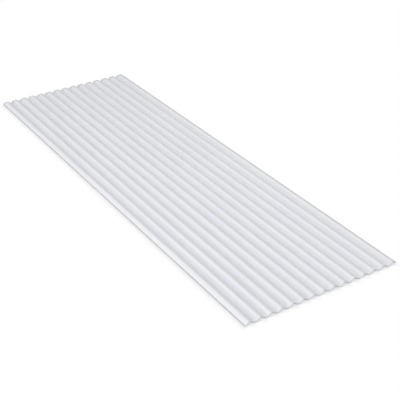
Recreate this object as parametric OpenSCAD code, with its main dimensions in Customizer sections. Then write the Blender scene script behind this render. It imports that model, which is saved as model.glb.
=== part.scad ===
// Corrugated PVC sheet, lying on its troughs.
// X runs along the waves, Y across them and Z up. The origin is on the floor, under the sheet's middle.

/* [Sheet] */
// Length of the sheet along its waves, in mm
sheet_length = 3500; // [500:100:6000]
// Number of crests from edge to edge
crest_count = 15; // [2:1:20]
// Distance across the sheet from its first crest to the edge outside it, in mm
first_overhang = 33; // [20:1:50]
// Distance across the sheet from its last crest to the edge outside it, in mm
last_overhang = 27; // [20:1:50]
// Thickness of the sheet, in mm
thickness = 1; // [0.7:0.1:3]

/* [Waves] */
// Distance from one crest to the next, in mm
pitch = 76; // [60:1:120]
// Overall height from the bottom of a trough to the top of a crest, in mm
wave_height = 18; // [10:1:30]
// Radius of each bend to the middle of the thickness, in mm
bend_radius = 18; // [6:0.5:30]

/* [Hidden] */
$fn = 96;

sheet_width = first_overhang + (crest_count - 1) * pitch + last_overhang;
half_pitch = pitch / 2;

// The midline is the section's curve at the middle of the thickness. This is its height from trough to crest.
rise = wave_height - thickness;

// A bend can't be rounder than one that leaves hardly any straight flank between it and the next.
fullest_bend = (half_pitch * half_pitch + rise * rise) / (4 * rise);
most_of_it = 0.96;
bend = min(bend_radius, most_of_it * fullest_bend);

// The flanks stop this far short of touching the bends' circles, so that the two outlines cross cleanly.
seam = 0.01;

// Heights of the centres that the bends turn around.
crest_centre = wave_height - thickness / 2 - bend;
trough_centre = thickness / 2 + bend;

// Half a wave is a crest's bend, a straight flank and a trough's bend. The flank's slope s closes them up:
// half_pitch * sin(s) + centre_step * cos(s) = 2 * (bend - seam)
centre_step = trough_centre - crest_centre;
flank_slope = atan2(half_pitch, centre_step) - acos(2 * (bend - seam) / norm([half_pitch, centre_step]));

// The area below a wavy line that keeps a distance of lift above the midline.
module area_below(lift) {
    crest_radius = bend + lift;
    trough_radius = bend - lift;
    touch = [sin(flank_slope), cos(flank_slope)];
    flank_top = [0, crest_centre] + (crest_radius - seam) * touch;
    flank_foot = [half_pitch, trough_centre] - (trough_radius - seam) * touch;
    outer_x = 0.6 * pitch; // so that neighbouring waves overlap
    depth = -3 * wave_height;

    difference() {
        for (wave = [-1 : crest_count]) translate([wave * pitch, 0]) {
            translate([0, crest_centre]) circle(r = crest_radius);
            polygon([
                [-outer_x, depth], [outer_x, depth],
                [outer_x, flank_foot.y], flank_foot, flank_top,
                [-flank_top.x, flank_top.y], [-flank_foot.x, flank_foot.y], [-outer_x, flank_foot.y]
            ]);
        }
        for (wave = [-1 : crest_count])
            translate([wave * pitch + half_pitch, trough_centre]) circle(r = trough_radius);
    }
}

// The band between the sheet's two faces, cut off at its two long edges. The first crest is at x = 0.
module wave_section() {
    difference() {
        intersection() {
            translate([-first_overhang, -wave_height]) square([sheet_width, 3 * wave_height]);
            area_below(thickness / 2);
        }
        area_below(-thickness / 2);
    }
}

module corrugated_sheet() {
    color([0.93, 0.94, 0.95])
        translate([-sheet_length / 2, first_overhang - sheet_width / 2, 0])
            rotate([90, 0, 90])
                linear_extrude(height = sheet_length) wave_section();
}

corrugated_sheet();
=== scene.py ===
import math

import bpy
import numpy as np
from mathutils import Matrix, Vector


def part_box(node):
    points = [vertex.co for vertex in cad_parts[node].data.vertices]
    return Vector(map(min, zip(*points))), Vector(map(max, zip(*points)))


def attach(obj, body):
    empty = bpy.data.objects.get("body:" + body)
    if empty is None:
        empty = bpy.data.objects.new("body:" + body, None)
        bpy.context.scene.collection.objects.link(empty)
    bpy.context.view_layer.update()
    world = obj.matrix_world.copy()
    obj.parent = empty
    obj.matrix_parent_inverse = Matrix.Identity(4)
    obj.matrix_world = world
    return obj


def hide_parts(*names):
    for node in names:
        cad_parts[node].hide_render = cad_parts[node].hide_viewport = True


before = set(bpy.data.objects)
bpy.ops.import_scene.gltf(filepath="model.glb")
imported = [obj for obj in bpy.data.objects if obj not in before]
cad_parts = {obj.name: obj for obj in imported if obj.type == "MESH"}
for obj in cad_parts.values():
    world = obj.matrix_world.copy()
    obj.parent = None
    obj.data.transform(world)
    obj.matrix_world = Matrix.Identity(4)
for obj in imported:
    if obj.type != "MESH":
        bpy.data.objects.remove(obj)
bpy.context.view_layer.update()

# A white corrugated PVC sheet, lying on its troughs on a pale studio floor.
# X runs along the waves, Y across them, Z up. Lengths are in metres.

# ---------------------------------------------------------------- the sheet's measures

LOW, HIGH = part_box("corrugated_sheet")
LENGTH, WIDTH, HEIGHT = HIGH - LOW
THICKNESS = 0.001
PITCH = 0.076
CREST_COUNT = 15
FIRST_CREST_Y = LOW.y + 0.033
BEND_RADIUS = 0.018      # to the middle of the thickness
EDGE_ROUNDING = 0.00022  # what handling and the saw leave of a sharp edge

STEPS_PER_BEND = 12      # how finely the skin follows each arc, each flank and each rounded edge
STEPS_PER_FLANK = 4
STEPS_PER_EDGE = 3
STEPS_ALONG = 24

RISE = HEIGHT - THICKNESS
CREST_CENTRE_Z = HEIGHT - THICKNESS / 2 - BEND_RADIUS
TROUGH_CENTRE_Z = THICKNESS / 2 + BEND_RADIUS
FLANK_SLOPE = math.atan2(PITCH / 2, 2 * BEND_RADIUS - RISE) - math.acos(
    2 * BEND_RADIUS / math.hypot(PITCH / 2, 2 * BEND_RADIUS - RISE)
)


# ---------------------------------------------------------------- shape

def face_height(y, lift):
    """Height of a face that keeps a distance of lift above the middle of the thickness, at each y.

    Measured from the nearest crest, the face is a circle's arc over the crest, a straight flank at
    FLANK_SLOPE, and a circle's arc in the trough. Lift widens the crest's arc and tightens the trough's.
    """
    off_crest = np.abs(np.mod(y - FIRST_CREST_Y + PITCH / 2, PITCH) - PITCH / 2)
    off_trough = PITCH / 2 - off_crest
    crest_r, trough_r = BEND_RADIUS + lift, BEND_RADIUS - lift
    flank_from = crest_r * math.sin(FLANK_SLOPE)
    flank_z = CREST_CENTRE_Z + crest_r * math.cos(FLANK_SLOPE)
    crest = CREST_CENTRE_Z + np.sqrt(np.maximum(crest_r**2 - off_crest**2, 0))
    flank = flank_z - (off_crest - flank_from) * math.tan(FLANK_SLOPE)
    trough = TROUGH_CENTRE_Z - np.sqrt(np.maximum(trough_r**2 - off_trough**2, 0))
    in_trough = off_trough < trough_r * math.sin(FLANK_SLOPE)
    return np.where(off_crest < flank_from, crest, np.where(in_trough, trough, flank))


def edge_steps(half):
    """Places near an edge at half: a quarter turn of rounding, and two that hold the flat beside it."""
    turn = np.linspace(0, math.pi / 2, STEPS_PER_EDGE + 1)
    rounding = half - EDGE_ROUNDING + EDGE_ROUNDING * np.sin(turn)
    flat = half - EDGE_ROUNDING * np.array([9.0, 3.0])
    return rounding, flat


def places_across():
    """Y of every line that runs along the sheet: equal angles round each bend, a few down each flank."""
    turn = np.linspace(-FLANK_SLOPE, FLANK_SLOPE, STEPS_PER_BEND + 1)
    bend = BEND_RADIUS * np.sin(turn)
    flank = np.linspace(bend[-1], PITCH / 2 - bend[-1], STEPS_PER_FLANK + 1)[1:-1]
    half_wave = np.concatenate([bend, flank])
    centres = FIRST_CREST_Y + PITCH / 2 * np.arange(-1, 2 * CREST_COUNT)
    y = np.sort((centres[:, None] + half_wave[None, :]).ravel())
    rounding, flat = edge_steps(WIDTH / 2)
    least_gap = 0.0004
    inner = y[np.abs(y) < flat.min() - least_gap]
    edge = np.sort(np.concatenate([flat, rounding]))
    return np.concatenate([-edge[::-1], inner, edge])


def places_along():
    """X of every row across the sheet: even steps, closer at the two sawn ends."""
    rounding, flat = edge_steps(LENGTH / 2)
    end_strip = 0.012
    inner = np.linspace(-1, 1, STEPS_ALONG + 1) * (flat.min() - end_strip)
    end = np.sort(np.concatenate([flat, rounding]))
    return np.concatenate([-end[::-1], inner, end])


def rounding_loss(place, half):
    """How much of each face's lift a rounded edge takes away: a quarter circle over the last bit before half."""
    into = np.clip((np.abs(place) - (half - EDGE_ROUNDING)) / EDGE_ROUNDING, 0, 1)
    return EDGE_ROUNDING * (1 - np.sqrt(1 - into**2))


def share_along(place, edge=0.014, edge_share=0.03):
    """Where each place falls between 0, the first, and 1, the last.

    Each edge strip gets edge_share of the whole, more than its due, so that the wear and painted shade on it keep
    their detail.
    """
    first, last = place[0], place[-1]
    return np.interp(place, [first, first + edge, last - edge, last], [0, edge_share, 1 - edge_share, 1])


def lay_out(mesh, faces, x, y):
    """The sheet's map: the upper face rolled flat in the lower half, the underside in the upper half, and the
    four sides of the rim as narrow strips between them. Across the sheet it goes by length along the wave."""
    margin, face_band = 0.004, 0.48
    rim_low, rim_spacing, rim_band = 0.4875, 0.0065, 0.004

    run = np.concatenate([[0], np.cumsum(np.hypot(np.diff(y), np.diff(face_height(y, 0))))])
    along, across = share_along(x), share_along(run)
    u, v = np.meshgrid(margin + (1 - 2 * margin) * along, margin + face_band * across, indexing="ij")
    grids = np.stack([np.tile(u.ravel(), 2), np.concatenate([v.ravel(), 1 - v.ravel()])], -1)

    sides = [across, along, 1 - across[::-1], 1 - along[::-1]]
    start = np.concatenate([side[:-1] for side in sides])
    end = np.concatenate([side[1:] for side in sides])
    low = np.concatenate([np.full(len(side) - 1, rim_low + rim_spacing * n) for n, side in enumerate(sides)])
    high = low + rim_band
    rim = np.stack([np.stack([start, low], -1), np.stack([end, low], -1),
                    np.stack([end, high], -1), np.stack([start, high], -1)], 1)

    corners = grids[faces]
    corners[-len(rim):] = rim
    mesh.uv_layers.new(name="OFBake").data.foreach_set("uv", corners.ravel())


def corrugated_sheet():
    """The sheet as one closed skin: a grid for the upper face, one for the lower, and a strip round the edge.

    A point of the grid is (x, y, face_height(y, lift)), with lift half the thickness less the rounding.
    """
    x, y = places_along(), places_across()
    grid_x, grid_y = np.meshgrid(x, y, indexing="ij")
    loss = np.maximum(rounding_loss(grid_x, LENGTH / 2), rounding_loss(grid_y, WIDTH / 2))
    lift = THICKNESS / 2 - loss
    upper = np.stack([grid_x, grid_y, face_height(grid_y, lift)], -1)
    lower = np.stack([grid_x, grid_y, face_height(grid_y, -lift)], -1)
    points = np.concatenate([upper.reshape(-1, 3), lower.reshape(-1, 3)])

    rows, columns = grid_x.shape
    top = np.arange(rows * columns).reshape(rows, columns)
    under = top + rows * columns

    def quads(a, b, c, d):
        return np.stack([a, b, c, d], -1).reshape(-1, 4)

    rim = np.concatenate([top[0, :-1], top[:-1, -1], top[-1, :0:-1], top[:0:-1, 0]])
    rim_next = np.roll(rim, -1)
    faces = np.concatenate([
        quads(top[:-1, :-1], top[1:, :-1], top[1:, 1:], top[:-1, 1:]),
        quads(under[:-1, :-1], under[:-1, 1:], under[1:, 1:], under[1:, :-1]),
        quads(rim, rim_next, rim_next + rows * columns, rim + rows * columns),
    ])
    mesh = bpy.data.meshes.new("corrugated_sheet_skin")
    mesh.from_pydata(points.tolist(), [], faces.tolist())
    lay_out(mesh, faces, x, y)
    mesh.shade_smooth()
    mesh.validate()
    mesh.update()
    piece = bpy.data.objects.new("corrugated_pvc_sheet", mesh)
    bpy.context.scene.collection.objects.link(piece)
    return piece


# ---------------------------------------------------------------- finishes

def socket_or_number(tree, value, socket):
    """Feeds an input from another node's output, or sets it."""
    if isinstance(value, bpy.types.NodeSocket):
        tree.links.new(value, socket)
    else:
        socket.default_value = value


def math_of(tree, operation, *terms):
    """One sum on two or three terms. MULTIPLY_ADD is the first times the second, plus the third."""
    node = tree.nodes.new("ShaderNodeMath")
    node.operation = operation
    for term, socket in zip(terms, node.inputs):
        socket_or_number(tree, term, socket)
    return node.outputs[0]


def seen_directly(tree, if_seen, otherwise):
    """A number that is if_seen for rays from the camera, a mirror or glass, and otherwise for the rest."""
    path = tree.nodes.new("ShaderNodeLightPath").outputs
    seen = math_of(tree, "MAXIMUM", path["Is Camera Ray"], path["Is Glossy Ray"])
    seen = math_of(tree, "MAXIMUM", seen, path["Is Transmission Ray"])
    return math_of(tree, "MULTIPLY_ADD", seen, if_seen - otherwise, otherwise)


def step(tree, value, start, end, low=0.0, high=1.0):
    """Goes smoothly from low, where value is start, to high, where it is end."""
    node = tree.nodes.new("ShaderNodeMapRange")
    node.interpolation_type = "SMOOTHSTEP"
    for name, term in (("Value", value), ("From Min", start), ("From Max", end), ("To Min", low), ("To Max", high)):
        socket_or_number(tree, term, node.inputs[name])
    return node.outputs["Result"]


def noise(tree, place, each_metre, detail=2.0, at=(0.0, 0.0, 0.0)):
    """Noise with so many lumps to the metre along X, Y and Z. Runs from 0 to 1, mostly near 0.5."""
    mapping = tree.nodes.new("ShaderNodeMapping")
    mapping.inputs["Scale"].default_value = each_metre
    mapping.inputs["Location"].default_value = at
    tree.links.new(place, mapping.inputs["Vector"])
    node = tree.nodes.new("ShaderNodeTexNoise")
    node.inputs["Scale"].default_value = 1.0
    node.inputs["Detail"].default_value = detail
    tree.links.new(mapping.outputs[0], node.inputs["Vector"])
    return node.outputs["Fac"]


def tint(tree, share, under, over):
    """Lays the colour over on the colour under, by share."""
    node = tree.nodes.new("ShaderNodeMix")
    node.data_type = "RGBA"
    socket_or_number(tree, share, node.inputs["Factor"])
    socket_or_number(tree, under, node.inputs[6])
    socket_or_number(tree, over, node.inputs[7])
    return node.outputs[2]


def bump(tree, height, lift, below=None):
    """Raises the surface by lift where height is 1, on top of the bumps below."""
    node = tree.nodes.new("ShaderNodeBump")
    node.inputs["Distance"].default_value = lift
    tree.links.new(height, node.inputs["Height"])
    if below is not None:
        tree.links.new(below, node.inputs["Normal"])
    return node.outputs[0]


def white_pvc():
    """Extruded white PVC with a satin skin.

    It has lines drawn out along the sheet by the die, faint clouds in the white, crests and feet dulled where
    stacked sheets rub, a little dust in the troughs, a ragged band of painted shade along the edges, a darker
    band of painted shade along the right side's lip, and coarse sawn faces painted dark grey as shade.
    """
    material = bpy.data.materials.new("white_pvc")
    material.use_nodes = True
    tree = material.node_tree
    shader = tree.nodes["Principled BSDF"]
    place = tree.nodes.new("ShaderNodeTexCoord").outputs["Object"]
    parts = tree.nodes.new("ShaderNodeSeparateXYZ")
    tree.links.new(place, parts.inputs[0])
    x, y, z = parts.outputs

    die_lines = noise(tree, place, (0.25, 110, 30), 3.0)
    clouds = noise(tree, place, (2.5, 9, 9), 2.0, (3.1, 0.4, 0))
    peel = noise(tree, place, (160, 210, 210), 1.0)

    from_end = math_of(tree, "SUBTRACT", LENGTH / 2, math_of(tree, "ABSOLUTE", x))
    from_side = math_of(tree, "SUBTRACT", WIDTH / 2, math_of(tree, "ABSOLUTE", y))
    from_edge = math_of(tree, "MINIMUM", from_end, from_side)
    # The sawn faces. Their dark grey is painted shade; their extra roughness and saw marks are real.
    sawn = step(tree, from_edge, 1.5 * EDGE_ROUNDING, 0.3 * EDGE_ROUNDING)

    # Distances from each edge for the painted edge shade, shortened where it reaches further in.
    near_scale, far_scale, right_scale = 1.2, 0.42, 0.24
    near_end = math_of(tree, "MULTIPLY_ADD", x, -near_scale, near_scale * LENGTH / 2)
    far_end = math_of(tree, "MULTIPLY_ADD", x, far_scale, far_scale * LENGTH / 2)
    left_side = math_of(tree, "ADD", y, WIDTH / 2)
    from_right = math_of(tree, "SUBTRACT", WIDTH / 2, y)
    right_side = math_of(tree, "MULTIPLY", from_right, right_scale)
    edge_shade_distance = math_of(tree, "MINIMUM", math_of(tree, "MINIMUM", near_end, far_end),
                      math_of(tree, "MINIMUM", left_side, right_side))
    ragged = math_of(tree, "MULTIPLY_ADD", noise(tree, place, (45, 45, 45), 3.0), -0.006, edge_shade_distance)
    # Painted shade: a ragged dark band along every edge, narrow at the near end and widest along the right side.
    painted_edge_shade = step(tree, ragged, 0.005, -0.003)
    # Painted shade: a darker band along the right side's lip, the last flank, which faces away from the light.
    lip_shade_distance = math_of(tree, "MULTIPLY_ADD", noise(tree, place, (14, 60, 60), 3.0, (2, 0, 0)), 0.012, from_right)
    painted_lip_shade = step(tree, lip_shade_distance, 0.021, 0.009)

    on_crest = step(tree, z, HEIGHT - 0.0012, HEIGHT - 0.0002)
    on_foot = step(tree, z, 0.0008, 0.0001)
    rubs = step(tree, noise(tree, place, (7, 260, 1), 3.0, (0, 5, 0)), 0.35, 0.6, 0.35, 1.0)
    rubbed = math_of(tree, "MULTIPLY", math_of(tree, "MAXIMUM", on_crest, on_foot), rubs)
    off_foot = math_of(tree, "SUBTRACT", 1.0, on_foot)
    in_trough = math_of(tree, "MULTIPLY", step(tree, z, 0.0035, 0.0012), off_foot)
    drifts = step(tree, noise(tree, place, (14, 40, 1), 4.0, (8, 0, 0)), 0.4, 0.7)
    dust = math_of(tree, "MULTIPLY", in_trough, drifts)

    cool_white, warm_white = (0.766, 0.776, 0.812, 1), (0.786, 0.791, 0.818, 1)
    white = tint(tree, step(tree, clouds, 0.3, 0.7), cool_white, warm_white)
    white = tint(tree, step(tree, die_lines, 0.62, 0.36, 0.0, 0.3), white, (0.69, 0.705, 0.745, 1))
    satin = 0.38
    rough = math_of(tree, "MULTIPLY_ADD", die_lines, 0.16, satin)

    # Each kind of wear or painted shade: where it is, how strongly it colours, its colour, and how much it
    # roughens.
    for where, strength, colour, roughening in (
        (rubbed, 0.5, (0.66, 0.67, 0.70, 1), 0.10),
        (dust, 0.12, (0.60, 0.59, 0.57, 1), 0.15),
        # painted shade along the edges
        (painted_edge_shade, 0.85, (0.46, 0.47, 0.49, 1), 0.15),
        # painted shade along the right side's lip
        (painted_lip_shade, 0.8, (0.28, 0.285, 0.30, 1), 0.0),
        # the sawn faces' dark grey is painted shade
        (sawn, 1.0, (0.25, 0.255, 0.265, 1), 0.25),
    ):
        white = tint(tree, math_of(tree, "MULTIPLY", where, strength), white, colour)
        rough = math_of(tree, "MULTIPLY_ADD", where, roughening, rough)
    tree.links.new(white, shader.inputs["Base Color"])
    tree.links.new(rough, shader.inputs["Roughness"])

    saw_marks = math_of(tree, "MULTIPLY", sawn, noise(tree, place, (1400, 1400, 90), 1.0))
    relief = bump(tree, die_lines, 0.00006)
    relief = bump(tree, peel, 0.00001, relief)
    relief = bump(tree, saw_marks, 0.00008, relief)
    tree.links.new(relief, shader.inputs["Normal"])
    shader.inputs["IOR"].default_value = 1.53  # rigid PVC
    return material


def floor_white():
    """A matt white floor, a little lighter to a ray from the camera or a mirror, so that it meets the backdrop.

    That lift lights nothing, so the floor isn't counted among the lamps.
    """
    material = bpy.data.materials.new("floor_white")
    material.cycles.emission_sampling = "NONE"
    material.use_nodes = True
    tree = material.node_tree
    shader = tree.nodes["Principled BSDF"]
    shader.inputs["Base Color"].default_value = (0.9, 0.9, 0.9, 1)
    shader.inputs["Roughness"].default_value = 1.0
    shader.inputs["Specular IOR Level"].default_value = 0.0
    lift = tree.nodes.new("ShaderNodeEmission")
    tree.links.new(seen_directly(tree, 0.05, 0.0), lift.inputs["Strength"])
    both = tree.nodes.new("ShaderNodeAddShader")
    tree.links.new(shader.outputs[0], both.inputs[0])
    tree.links.new(lift.outputs[0], both.inputs[1])
    tree.links.new(both.outputs[0], tree.nodes["Material Output"].inputs["Surface"])
    return material


def floor():
    """A wide square, a hair below the troughs so that the two don't share a plane."""
    half, height = 30, -0.0002
    corners = [(-half, -half, height), (half, -half, height), (half, half, height), (-half, half, height)]
    mesh = bpy.data.meshes.new("studio_floor")
    mesh.from_pydata(corners, [], [(0, 1, 2, 3)])
    piece = bpy.data.objects.new("studio_floor", mesh)
    bpy.context.scene.collection.objects.link(piece)
    piece.data.materials.append(floor_white())
    return piece


# ---------------------------------------------------------------- camera and light

def camera():
    """Stands off the near end, to the left of the sheet, and looks down along it."""
    heading, fall, roll = math.radians(57.63), math.radians(30.65), math.radians(-0.446)
    aim, distance = Vector((0.4591, -0.0325, 0.0)), 6.156
    forward = Vector((-math.sin(heading) * math.cos(fall), math.cos(heading) * math.cos(fall), -math.sin(fall)))
    level = forward.cross(Vector((0, 0, 1))).normalized()
    upright = level.cross(forward)
    right = level * math.cos(roll) + upright * math.sin(roll)
    up = right.cross(forward)
    data = bpy.data.cameras.new("camera")
    data.sensor_width, data.lens = 36.0, 81.22
    data.clip_start, data.clip_end = 0.1, 200
    eye = bpy.data.objects.new("camera", data)
    turn = Matrix((right, up, -forward)).transposed().to_4x4()
    eye.matrix_world = Matrix.Translation(aim - forward * distance) @ turn
    bpy.context.scene.collection.objects.link(eye)
    bpy.context.scene.camera = eye


def lamp(name, kind, place, aim, lit):
    """A lamp that hangs at place, points at aim, and lights only the piece called lit."""
    light = bpy.data.lights.new(name, kind)
    holder = bpy.data.objects.new(name, light)
    turn = (Vector(aim) - Vector(place)).to_track_quat("-Z", "Y").to_matrix().to_4x4()
    holder.matrix_world = Matrix.Translation(place) @ turn
    holder.visible_camera = False
    bpy.context.scene.collection.objects.link(holder)
    only = bpy.data.collections.new("lit_by_" + name)
    only.objects.link(lit)
    holder.light_linking.receiver_collection = only
    return light


def softbox(name, place, aim, width, height, share, lit):
    """A rectangular lamp. Share is how bright it alone makes a white surface that lies level at the aim.

    Power = share * pi^2 * distance^2 / cosine of the angle from the vertical.
    """
    light = lamp(name, "AREA", place, aim, lit)
    along = Vector(aim) - Vector(place)
    light.shape, light.size, light.size_y = "RECTANGLE", width, height
    light.energy = share * (math.pi * along.length) ** 2 / -along.normalized().z


def far_window(name, round_from_front, above, spread, share, lit):
    """A far-off lamp, all angles in degrees: round from -Y towards +X, above the floor, and how wide it looks.

    Strength = share * pi / sine of its height.
    """
    turn, rise, far = math.radians(round_from_front), math.radians(above), 20
    place = Vector((math.sin(turn) * math.cos(rise), -math.cos(turn) * math.cos(rise), math.sin(rise))) * far
    light = lamp(name, "SUN", place, (0, 0, 0), lit)
    light.angle = math.radians(spread)
    light.energy = share * math.pi / math.sin(rise)


def studio_light(sheet, lit_floor):
    """White surroundings light everything, and lamps that are shaded from one piece or the other add to them.

    The sheet has a box overhead on the right, a longer one high up on the left and a long low one off its near
    left corner that grazes the waves. The floor has low windows: one on the right, which lays the sheet's shadow
    to the left, a weaker one behind, and a wide one in front, which reaches in under the waves.
    """
    world = bpy.data.worlds.new("studio")
    bpy.context.scene.world = world
    world.use_nodes = True
    background = world.node_tree.nodes["Background"]
    background.inputs["Color"].default_value = (1, 1, 1, 1)
    white_to_see, share_of_light = 1.0, 0.429
    strength = seen_directly(world.node_tree, white_to_see, share_of_light)
    world.node_tree.links.new(strength, background.inputs["Strength"])

    softbox("overhead_box", (0.6, 3.0, 5.0), (0.3, 0, 0), 4.0, 2.5, 0.267, sheet)
    softbox("left_box", (0.4, -7.2, 5.4), (0, 0, 0), 6.0, 1.6, 0.231, sheet)
    softbox("grazing_box", (4.0, -7.4, 1.3), (0, 0, 0), 8.0, 1.6, 0.045, sheet)
    far_window("right_window", 192, 18, 14, 0.175, lit_floor)
    far_window("back_window", 300, 22, 14, 0.065, lit_floor)
    far_window("front_window", 110, 25, 20, 0.389, lit_floor)


sheet = corrugated_sheet()
sheet.data.materials.append(white_pvc())
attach(sheet, "root")
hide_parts("corrugated_sheet")
studio_floor = floor()
camera()
studio_light(sheet, studio_floor)

bpy.context.scene.view_settings.view_transform = "Standard"
